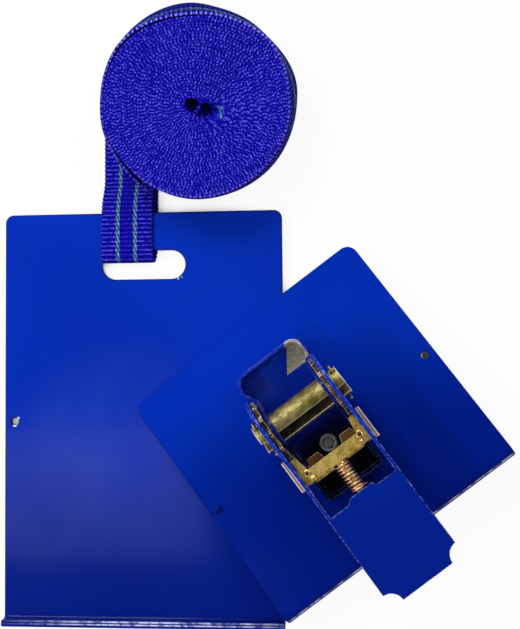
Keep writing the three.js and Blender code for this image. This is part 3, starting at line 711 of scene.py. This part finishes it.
# bolt and nut: painted highlight on rounded edges, painted shade on flat faces
boltZinc = greyZinc("boltZinc", 0.6, 0.3)
nutZinc = greyZinc("nutZinc", 0.25, 1.0)
for side in ("a", "b"):
    dress("spool_half_" + side, "spoolRod" + side.upper(), spoolZinc,
          {"round": 0.35, "segments": 3, "clamp": False})
for side in ("left", "right"):
    dress("ratchet_wheel_" + side, "wheel" + side.title(), wheelZinc,
          {"round": 0.18, "segments": 2})
dress("drive_pawl", "drivePawlBar", pawlZinc, {"round": 0.35, "segments": 3})
dress("lock_pawl", "lockPawlPlate", lockZinc, {"round": 0.2, "segments": 2})
dress("base_bolt", "frameBolt", boltZinc, {"round": 0.15, "segments": 2})
dress("base_washer", "boltWasher", nutZinc, {"round": 0.12, "segments": 2})
dress("base_nut", "boltNut", nutZinc, {"round": 0.45, "segments": 3})

# Curled relief cuts at the ends of the pawl bar, and the lower step behind it on both sides of the stem
bodies = []
for side in (-1, 1):
    step = bmesh.new()
    bmesh.ops.create_cube(step, size=1)
    for vert in step.verts:
        vert.co = (side * (ledge["from"] if vert.co.x < 0 else ledge["to"]),
                   ledge["back"] if vert.co.y < 0 else ledge["front"],
                   ledge["low"] if vert.co.z < 0 else ledge["top"])
    bmesh.ops.bevel(step, geom=step.edges[:], offset=ledge["round"], offset_type="OFFSET", affect="EDGES",
                    segments=2, profile=0.5, material=-1)
    bodies.append(step)
for side in (-1, 1):
    points = []
    for step in range(curls["steps"]):
        angle = math.radians(curls["from"] + step * curls["by"])
        points.append((side * (curls["x"] + math.cos(angle) * curls["radius"]),
                       curls["y"] + math.sin(angle) * curls["radius"], curls["height"]))
    bodies.append(wire(points, curls["wire"]))
settle(joined(bodies), "pawlCurls", pawlZinc, "drive_slider", [], bucklePlace)

# Springs: closed end curls, even curls between, and loose wire ends
print("springs")


def springPath(values):
    points = []
    steps = values["curls"] * values["steps"]
    span = values["end"] - values["start"]
    closed = values["wire"] * values["closed"]  # how far an end curl climbs
    for step in range(steps + 1):
        turn = values["curls"] * step / steps
        rest = values["curls"] - turn
        if turn < 1:
            run = turn * closed
        elif rest < 1:
            run = span - rest * closed
        else:
            run = closed + (span - 2 * closed) * (turn - 1) / (values["curls"] - 2)
        angle = turn * fullTurn + values["turned"]
        points.append(Vector((math.cos(angle) * values["radius"], values["start"] + run,
                              values["height"] + math.sin(angle) * values["radius"])))
    first = (points[0] - points[1]).normalized() * values["tail"]
    last = (points[-1] - points[-2]).normalized() * values["tail"]
    before = [points[0] + first * share for share in (1.0, 0.66, 0.33)]
    after = [points[-1] + last * share for share in (0.33, 0.66, 1.0)]
    return before + points + after


driveSpring = {"radius": 2.85, "wire": 0.38, "curls": 9, "start": -39.6, "end": -27.6, "height": 6.5,
               "turned": 0.6, "tail": 2.6, "closed": 2.15, "steps": 20}
lockSpring = {"radius": 2.25, "wire": 0.36, "curls": 7, "start": -34.5, "end": -27.6, "height": -7.2,
              "turned": 1.2, "tail": 0.8, "closed": 2.15, "steps": 20}
springWire = copperWire("springWire")
driveCoil = settle(wire(springPath(driveSpring), driveSpring["wire"]), "driveSpringWire", springWire, "lever",
                   ["drive_pawl_spring"], bucklePlace)
lockCoil = settle(wire(springPath(lockSpring), lockSpring["wire"]), "lockSpringWire", springWire,
                  "ratchet_side", ["lock_pawl_spring"], bucklePlace)
for coil, joint, values, keep in ((driveCoil, "drive_pawl_slide", driveSpring, 0.67),
                                  (lockCoil, "lock_pawl_slide", lockSpring, 0.57)):
    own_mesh(coil)

# Split pins through the spool ends: two wires side by side, a flat eye on top and spread legs below
print("split pins")
pins = {
    "x": 19.7, "wire": 0.52, "reach": 7.0, "turn": -47.0, "gap": 1.06, "neck": 0.2, "bend": 0.7,
    "eye": 1.3, "eyeHigh": 0.85, "eyeFrom": 240, "eyeBy": 25, "eyeSteps": 13,
    "legs": [[(-4.6, -0.1), (-2.6, -0.2)], [(2.4, -0.2), (4.2, 0.1)]],  # outward, and down past the reach
}


def pinWire(values):
    gap = values["wire"] * values["gap"]
    reach = values["reach"]
    stem = (-reach + values["bend"], 0, reach - values["neck"])
    firstLeg, lastLeg = ([(0, out, -reach + low) for out, low in leg] for leg in values["legs"])
    points = firstLeg + [(0, -gap, level) for level in stem]
    for step in range(values["eyeSteps"]):
        angle = math.radians(values["eyeFrom"] - step * values["eyeBy"])
        points.append((0, math.cos(angle) * values["eye"],
                       reach + (values["eyeHigh"] + math.sin(angle)) * values["eye"]))
    return points + [(0, gap, level) for level in reversed(stem)] + lastLeg


leaning = Matrix.Rotation(math.radians(pins["turn"]), 4, "X")
for side, label in ((-1, "left"), (1, "right")):
    turned = Matrix.Translation((side * pins["x"], 0, 0)) @ leaning
    settle(wire(pinWire(pins), pins["wire"]), "splitPin" + label.title(), pinZinc, "spool",
           ["cotter_pin_" + label], bucklePlace @ turned)

# Webbing: a flat strip of rounded section, bent along a path given as a function of length, width and face
print("webbing")
# Points round the cross-section: share of the width, and the face, -1 below to 1 above
section = [
    (0.02, 1.0), (0.27, 1.04), (0.5, 1.04), (0.73, 1.04), (0.98, 1.0), (1.0, 0.5), (1.0, -0.5),
    (0.98, -1.0), (0.73, -1.04), (0.5, -1.04), (0.27, -1.04), (0.02, -1.0), (0.0, -0.5), (0.0, 0.5),
]
thinSection = [
    (0.012, 1.0), (0.2, 1.0), (0.4, 1.0), (0.6, 1.0), (0.8, 1.0), (0.988, 1.0), (1.0, 0.7), (1.0, -0.7),
    (0.988, -1.0), (0.8, -1.0), (0.6, -1.0), (0.4, -1.0), (0.2, -1.0), (0.012, -1.0), (0.0, -0.7), (0.0, 0.7),
]


def strip(length, step, ring, spot, spread=None):
    body = bmesh.new()
    stations = max(int(length / step), 2)
    bmesh.ops.create_grid(body, x_segments=stations, y_segments=len(ring), size=0.5)
    alongLayer = body.verts.layers.float.new("along")
    wideLayer = body.verts.layers.float.new("wide")
    for vert in body.verts:
        along = (vert.co.x + 0.5) * length
        share, face = ring[round((vert.co.y + 0.5) * len(ring)) % len(ring)]
        vert[alongLayer] = along
        vert[wideLayer] = spread(along, share) if spread else share
        vert.co = spot(along, share, face)
    bmesh.ops.remove_doubles(body, verts=body.verts, dist=0.0001)
    ends = [edge for edge in body.edges if edge.is_boundary]
    bmesh.ops.holes_fill(body, edges=ends, sides=0)
    return body


# The lead: two layers round the bar, the upper one steps down behind the roll and is narrower past the fold
lead = {
    "left": -17.6, "width": 24.2, "thick": 1.1, "low": 0.7, "high": 5.7523, "end": 247.0, "step": 0.4,
    "fold": 165.28, "foldSteps": 24,
    "stepFrom": 188.0, "stepTo": 200.0, "stepLow": 2.13, "stepEarly": 4, "stepSteps": 16,
    "frontShift": -0.1, "frontWidth": 22.6, "frontFrom": (-12, 6),
    "pinch": 0.9, "pinchAt": 8, "pinchReach": (6, 34),
    "rib": 0.07, "scallop": 0.14,
}


def leadRoute():
    radius = (lead["high"] - lead["low"]) / 2
    middle = lead["low"] + radius
    early = lead["stepFrom"] - lead["stepEarly"]
    route = [Vector((lead["end"], lead["low"])), Vector((lead["fold"], lead["low"]))]
    for step in range(1, lead["foldSteps"]):
        angle = -math.pi / 2 - math.pi * step / lead["foldSteps"]
        route.append(Vector((lead["fold"] + math.cos(angle) * radius, middle + math.sin(angle) * radius)))
    route += [Vector((lead["fold"], lead["high"])), Vector((early, lead["high"]))]
    for step in range(1, lead["stepSteps"] + 1):
        y = early + (lead["stepTo"] - early) * step / lead["stepSteps"]
        fall = smooth(lead["stepFrom"] - 1, lead["stepTo"], y)
        route.append(Vector((y, lead["high"] + (lead["stepLow"] - lead["high"]) * fall)))
    route.append(Vector((lead["end"], lead["stepLow"])))
    return route


route = leadRoute()
lengths = [0]
for before, after in zip(route, route[1:]):
    lengths.append(lengths[-1] + (after - before).length)
leadLength = lengths[-1]


def onRoute(along):
    along = min(max(along, 0), leadLength - 0.0001)
    place = next(i for i in range(len(lengths) - 1) if lengths[i + 1] > along)
    share = (along - lengths[place]) / (lengths[place + 1] - lengths[place])
    return route[place].lerp(route[place + 1], share)


def leadSpot(along, share, face):
    here = onRoute(along)
    way = (onRoute(along + lead["step"]) - onRoute(along - lead["step"])).normalized()
    ripple = math.cos(along * fullTurn / weave["ribPitch"])
    half = lead["thick"] / 2 * face * (1 + lead["rib"] * 2 * ripple)
    past = along - leadLength / 2
    front = smooth(*lead["frontFrom"], past)
    near = 1 - smooth(*lead["pinchReach"], abs(past - lead["pinchAt"]))
    wide = lead["width"] + (lead["frontWidth"] - lead["width"]) * front
    x = lead["left"] + lead["frontShift"] * front + share * wide
    x -= lead["pinch"] * near * front * (1 - share)
    x += ((share - 0.5) * 2) ** 5 * lead["scallop"] * ripple
    return Vector((x, here.x + way.y * half, here.y - way.x * half))


leadCloth = webbingCloth("leadCloth", 0.95, 0.2)
leadPiece = settle(strip(leadLength, lead["step"], section, leadSpot), "webbingLead", leadCloth, "strap_side",
                   ["strap_lead"], bandPlace, weave["smoothTo"])

# The roll: an upright spiral whose foot lies further back than its top. The outer turns lean out by an amount
# that changes round the roll, the last half turn sinks and loosens, the inner turns are pressed to a slanted
# hole that opens like a funnel on one side, and the inner end crosses the hole
roll = {
    "turns": 28, "outer": 38.85, "inner": 5.0, "width": 25.0, "step": 0.95,
    "top": (28.3, 225.9), "foot": (25.6, 237.4), "lift": 0.5, "right": 71.0, "slope": 0.0499,
    "fill": 0.49, "thickest": 0.64, "wander": 0.15, "uneven": 0.25, "short": 0.5, "scallop": 0.2,
    "flareFrom": 0.78, "bulgeTo": 0.62, "waist": 0.4, "waistFrom": 0.55,
    "holeShort": 2.5, "holeLong": 5.4, "holeTurn": -41, "funnel": 8.5, "funnelTurn": -14, "funnelWide": 66,
    "endTurn": 235, "lastTurns": 0.5, "drop": 15.0, "loosen": 1.2,
    "tail": 6.0, "tailTurn": 237, "tailFrom": (1.5, 2.1), "tailDrop": 2.5,
    "torn": 0.29, "tornAt": 15.8, "tornHalf": (2.6, 3.0), "tornPast": (38, 44), "untorn": (0.72, 0.2),
    "tornPlace": (-0.0110, 0.1335, 0.0225),  # metres, in the model's frame
    # along the roll: where the painted shade on the outer wall begins and is full
    "paintedWallShade": (80.0, 160.0),
    # degrees round the roll, extra reach at the foot and at the top
    "shape": [(-135, 5.0, 0.6), (-90, 10.0, 0.6), (-45, 10.6, 0.6), (0, 7.6, 1.8), (45, 0.5, 5.0),
              (75, 0.3, 3.8), (95, 1.5, 3.2), (135, -0.2, 5.0), (180, 1.8, 2.5), (225, 5.0, 0.6)],
}
rollPitch = (roll["outer"] - roll["inner"]) / roll["turns"]
rollLength = fullTurn * (roll["inner"] * roll["turns"] + rollPitch * roll["turns"] ** 2 / 2)


def shapeAt(angle):
    degrees = (math.degrees(angle) + 135) % 360 - 135
    for before, after in zip(roll["shape"], roll["shape"][1:]):
        if before[0] <= degrees <= after[0]:
            share = smooth(before[0], after[0], degrees)
            return [low + (high - low) * share for low, high in zip(before[1:], after[1:])]


def rollReach(turn, angle, share):
    level = turn / roll["turns"]
    foot, top = shapeAt(angle)
    lobe = math.cos(angle - math.radians(roll["holeTurn"])) ** 2
    inner = roll["holeShort"] + (roll["holeLong"] - roll["holeShort"]) * lobe
    opened = hump(angle, math.radians(roll["funnelTurn"]), math.radians(roll["funnelWide"]))
    inner += roll["funnel"] * opened * share ** 4
    lean = max(0, (level - roll["flareFrom"]) / (1 - roll["flareFrom"]))
    bulge = smooth(0, roll["bulgeTo"], 1 - share) - roll["waist"] * smooth(roll["waistFrom"], 1, 1 - share)
    reach = inner + (roll["outer"] - inner) * level + foot * lean * lean * bulge
    return reach + top * level * share


# Slow change round the roll and from turn to turn
def drifting(angle, turn, scale, pace, start=0):
    return noise.noise(Vector((math.cos(angle) * scale, math.sin(angle) * scale, turn * pace + start)))


def rollSpot(along, share, face):
    run = max(along - roll["tail"], 0)
    turn = (math.sqrt(roll["inner"] ** 2 + rollPitch * run / math.pi) - roll["inner"]) / rollPitch
    angle = math.radians(roll["endTurn"]) - (roll["turns"] - turn) * fullTurn
    out = Vector((math.cos(angle), math.sin(angle)))
    rest = max(0, 1 - (roll["turns"] - turn) / roll["lastTurns"])
    pitch = rollReach(turn + 0.5, angle, share) - rollReach(turn - 0.5, angle, share)
    half = min(pitch * roll["fill"], roll["thickest"]) * face
    spread = drifting(angle, turn, 1.3, 0.31) * roll["wander"]
    reach = rollReach(turn, angle, share) + spread * math.sin(math.pi * turn / roll["turns"])
    reach += roll["loosen"] * smooth(0, 0.5, rest)
    middle = out * reach
    wound = smooth(0.45, 1.35, along / roll["tail"])
    if wound < 1:
        heading = math.radians(roll["tailTurn"])
        straight = Vector(roll["tailFrom"]) + Vector((math.cos(heading), math.sin(heading))) * along
        middle = straight.lerp(middle, wound)
        turned = heading - math.pi / 2
        turned += math.atan2(math.sin(angle - turned), math.cos(angle - turned)) * wound
        out = Vector((math.cos(turned), math.sin(turned)))
    centre = Vector(roll["top"]).lerp(Vector(roll["foot"]), smooth(0, 0.75, 1 - share))
    spot = centre + middle + out * half
    bob = drifting(angle, turn, 2.2, 0.83, 7) * roll["uneven"]
    sunk = roll["drop"] * rest ** 3 + roll["tailDrop"] * (1 - wound)
    ripple = math.cos(along * fullTurn / weave["ribPitch"]) * roll["scallop"]
    level = share * (roll["width"] - roll["short"] + bob - sunk) + (share - 0.5) * ripple + roll["lift"]
    return Vector((*spot, level + (roll["right"] - spot.x) * roll["slope"]))


# In the funnel the worn inner end shows a tracer nearer the top
def rollWide(along, share):
    shown = 1 - smooth(*roll["tornHalf"], abs(along - roll["tornAt"]))
    first, span = roll["untorn"]
    inside = share * (1 - roll["torn"]) * shown + (first + share * span) * (1 - shown)
    return inside + (share - inside) * smooth(*roll["tornPast"], along)


rollCloth = webbingCloth("rollCloth", 0.95, 1.5, roll["paintedWallShade"], "faceGround", rollLength, roll["tornPlace"])
rollBody = strip(rollLength + roll["tail"], roll["step"], thinSection, rollSpot, rollWide)
rollPiece = settle(rollBody, "webbingRoll", rollCloth, "strap_side", ["strap_coil"], bandPlace,
                   weave["smoothTo"])
print("length of the roll, metres:", round(rollLength * millimetre, 2))

# Thread that closes the loop: rows to and fro on top, a leg down at each end
print("thread")
stitch = {"x": -5.1, "half": 9.0, "y": 225.0, "pitch": 3.0, "rows": 6, "top": 3.1, "low": 0.8, "wire": 0.21,
          "aside": 0.05}
points = []
for row in range(stitch["rows"]):
    ends = (1, -1) if row % 2 else (-1, 1)
    y = stitch["y"] + row * stitch["pitch"]
    for end in ends:
        x = stitch["x"] + end * stitch["half"]
        points += [(x, y, stitch["top"]), (x, y, stitch["low"]),
                   (x + stitch["aside"], y + stitch["aside"], stitch["top"])]
settle(wire(points, stitch["wire"]), "loopThread", webbingCloth("threadCloth", 0.7), "strap_side",
       ["loop_stitching"], bandPlace)

# Floor, world and lamps
print("studio")
studio = {
    "white": (1, 1, 1), "ambient": 0.36, "zenith": 0.08, "zenithFrom": (0.25, 0.9),
    "floor": (0.92, 0.92, 0.92), "floorWhite": 0.92, "floorHalf": 4,
    "shadeReach": 0.1,  # floor under plates and inside the roll stays dark within this distance
    "shadeOpen": (0.05, 0.35),
    "holeShade": (0.0775, 0.0269, 0.0),  # painted shade on the floor behind a hang hole, kept only while the plate is over it
    "holeReach": 0.0035, "holeOpen": (0.5, 0.7), "holeDark": (0.03, 0.03, 0.04), "holeShare": 0.85,
    "lamps": [  # place, aim, width, depth, watts
        ((-0.26, 0.42, 0.44), (-0.04, 0.06, 0.0), 0.28, 0.18, 2.0),
        ((-0.60, 0.02, 0.56), (0.0, 0.0, 0.0), 0.18, 0.30, 1.0),
        ((0.62, 0.10, 0.46), (0.0, 0.0, 0.0), 0.30, 0.50, 0.2),
        ((-0.390, -0.214, 1.20), (-0.370, -0.214, 0.0), 0.22, 0.405, 0.43),
        ((0.397, 0.296, 0.55), (0.02, 0.0, 0.03), 0.30, 0.05, 0.45),
        ((-0.42, -0.31, 0.60), (0.02, 0.0, 0.03), 0.16, 0.05, 1.3),
    ],
}
ground = bmesh.new()
bmesh.ops.create_grid(ground, x_segments=1, y_segments=1, size=studio["floorHalf"])
floorMesh = bpy.data.meshes.new("floor")
ground.to_mesh(floorMesh)
ground.free()
floor = bpy.data.objects.new("floor", floorMesh)
bpy.context.scene.collection.objects.link(floor)
pale = Finish("floorPale")
clear = pale.node("ShaderNodeAmbientOcclusion", {"samples": 12}, {"Distance": studio["shadeReach"]},
                  take="AO")
# painted shade spot on the floor behind the hang hole
paintedHoleShade = pale.near(studio["holeShade"], studio["holeReach"], 0.4, pale.spots())
paintedHoleShade = paintedHoleShade * clear.ramp(*studio["holeOpen"], 1.0, 0.0)
shadedFloor = pale.mix(paintedHoleShade * studio["holeShare"], studio["floor"], studio["holeDark"])
plain = pale.node("ShaderNodeBsdfDiffuse", {}, {"Color": shadedFloor})
glow = pale.node("ShaderNodeEmission", {}, {"Color": studio["white"], "Strength": 1.0})
rays = pale.node("ShaderNodeLightPath", take="Is Camera Ray")
seen = rays.most(rays.part("Is Glossy Ray")).most(rays.part("Is Transmission Ray"))
shaded = clear.ramp(*studio["shadeOpen"]) * (1 - paintedHoleShade)
both = pale.node("ShaderNodeMixShader", {}, {0: seen * shaded * studio["floorWhite"], 1: plain, 2: glow})
pale.node("ShaderNodeOutputMaterial", {}, {"Surface": both})
floorMesh.materials.append(pale.material)

world = bpy.data.worlds.new("studio")
bpy.context.scene.world = world
sky = Finish("studio", world)
facing = sky.node("ShaderNodeTexCoord", take="Generated")
steep = sky.node("ShaderNodeSeparateXYZ", {}, {0: facing}, take="Z")
rays = sky.node("ShaderNodeLightPath", take="Is Camera Ray")
bright = rays.most(rays.part("Is Transmission Ray"))
shiny = rays.part("Is Glossy Ray")
dome = steep.ramp(*studio["zenithFrom"], 1.0, studio["zenith"])
strength = bright + (1 - bright) * dome
plainSky = sky.node("ShaderNodeBackground", {}, {"Color": studio["white"], "Strength": studio["ambient"]})
whiteSky = sky.node("ShaderNodeBackground", {}, {"Color": studio["white"], "Strength": strength})
both = sky.node("ShaderNodeMixShader", {}, {0: bright.most(shiny), 1: plainSky, 2: whiteSky})
sky.node("ShaderNodeOutputWorld", {}, {"Surface": both})

for place, aim, wide, deep, watts in studio["lamps"]:
    lamp = bpy.data.lights.new("softLamp", "AREA")
    lamp.shape = "RECTANGLE"
    lamp.size = wide
    lamp.size_y = deep
    lamp.energy = watts
    holder = bpy.data.objects.new("softLamp", lamp)
    holder.location = place
    holder.rotation_euler = (Vector(aim) - Vector(place)).to_track_quat("-Z", "Y").to_euler()
    bpy.context.scene.collection.objects.link(holder)

bpy.context.scene.view_settings.view_transform = "Standard"
